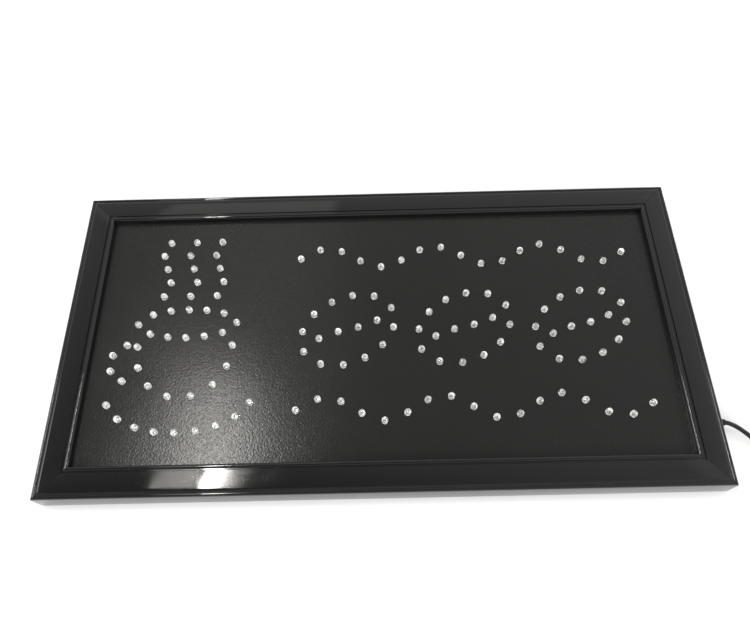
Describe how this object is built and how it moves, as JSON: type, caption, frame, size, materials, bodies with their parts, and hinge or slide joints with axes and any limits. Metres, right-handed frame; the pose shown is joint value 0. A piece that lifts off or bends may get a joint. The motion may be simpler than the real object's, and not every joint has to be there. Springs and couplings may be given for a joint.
{
  "type": "lit window sign",
  "caption": "Framed window sign lying face up: black mitred frame, dark panel with clear LEDs drawing a steaming cup and beans, side push-buttons, power lead and rear hanging rings.",
  "frame": {"origin": "middle of the bottom rail's rear face, on the plane the sign rests on", "axes": "+X to the sign's right seen from the front, +Y to its top edge, +Z out of the display face"},
  "size_m": [0.5548, 0.3083, 0.0205],
  "materials": {
    "frame_black": "glossy black extruded plastic",
    "panel_grey": "dark grey board with a fine pebble grain",
    "cover_black": "matt black hardboard",
    "led_epoxy": "water-clear moulded epoxy over a small metal frame",
    "screw_steel": "zinc plated",
    "lead_black": "black cable jacket",
    "plug_metal": "nickel plated",
    "board_green": "green solder mask",
    "chip_black": "matt black moulded",
    "capacitor_can": "satin can",
    "key_grey": "grey moulded",
    "wire_red": "red wire insulation",
    "foam_white": "off-white foam tape",
    "button_red": "glossy red",
    "button_black": "glossy black"
  },
  "bodies": {
    "case": {"rail_bottom": "frame_black", "rail_right": "frame_black", "rail_top": "frame_black", "rail_left": "frame_black", "corner_key_1": "key_grey", "corner_key_2": "key_grey", "corner_key_3": "key_grey", "corner_key_4": "key_grey", "front_panel": "panel_grey", "leds_steam_left": "led_epoxy", "leds_steam_middle": "led_epoxy", "leds_steam_right": "led_epoxy", "leds_cup_rim": "led_epoxy", "leds_cup_bowl": "led_epoxy", "leds_cup_handle": "led_epoxy", "leds_saucer": "led_epoxy", "leds_bean_1": "led_epoxy", "leds_bean_2": "led_epoxy", "leds_bean_3": "led_epoxy", "leds_wave_top": "led_epoxy", "leds_wave_bottom": "led_epoxy", "rear_cover": "cover_black", "cover_screw_1": "screw_steel", "cover_screw_2": "screw_steel", "cover_screw_3": "screw_steel", "cover_screw_4": "screw_steel", "cover_screw_5": "screw_steel", "cover_screw_6": "screw_steel", "cover_screw_7": "screw_steel", "cover_screw_8": "screw_steel", "hanger_strap_left": "screw_steel", "hanger_screw_left": "screw_steel", "hanger_strap_right": "screw_steel", "hanger_screw_right": "screw_steel", "power_switch": "chip_black", "power_switch_lead": "wire_red", "flash_switch": "chip_black", "flash_switch_lead": "wire_red", "board_pad": "foam_white", "controller_board": "board_green", "flasher_chip": "chip_black", "driver_1": "chip_black", "driver_2": "chip_black", "driver_3": "chip_black", "resistor_row": "chip_black", "capacitor": "capacitor_can", "feed_wire_waves": "wire_red", "feed_wire_beans": "wire_red", "feed_wire_cup": "wire_red", "feed_wire_steam": "wire_red", "power_lead": "lead_black", "strain_relief": "lead_black", "plug_grip": "lead_black", "plug_barrel": "plug_metal"},
    "power_button": {"power_button": "button_red"},
    "flash_button": {"flash_button": "button_black"},
    "hanger_ring_left": {"hanger_ring_left": "screw_steel"},
    "hanger_ring_right": {"hanger_ring_right": "screw_steel"}
  },
  "joints": [
    {"name": "power_button_press", "type": "slide", "parent": "case", "child": "power_button", "axis": [-1, 0, 0], "range_m": [0, 0.0018]},
    {"name": "flash_button_press", "type": "slide", "parent": "case", "child": "flash_button", "axis": [-1, 0, 0], "range_m": [0, 0.0018]},
    {"name": "hanger_ring_left_swing", "type": "hinge", "parent": "case", "child": "hanger_ring_left", "pos_m": [-0.15, 0.206, 0.00225], "axis": [-1, 0, 0], "range_deg": [0, 160]},
    {"name": "hanger_ring_right_swing", "type": "hinge", "parent": "case", "child": "hanger_ring_right", "pos_m": [0.15, 0.206, 0.00225], "axis": [-1, 0, 0], "range_deg": [0, 160]}
  ]
}
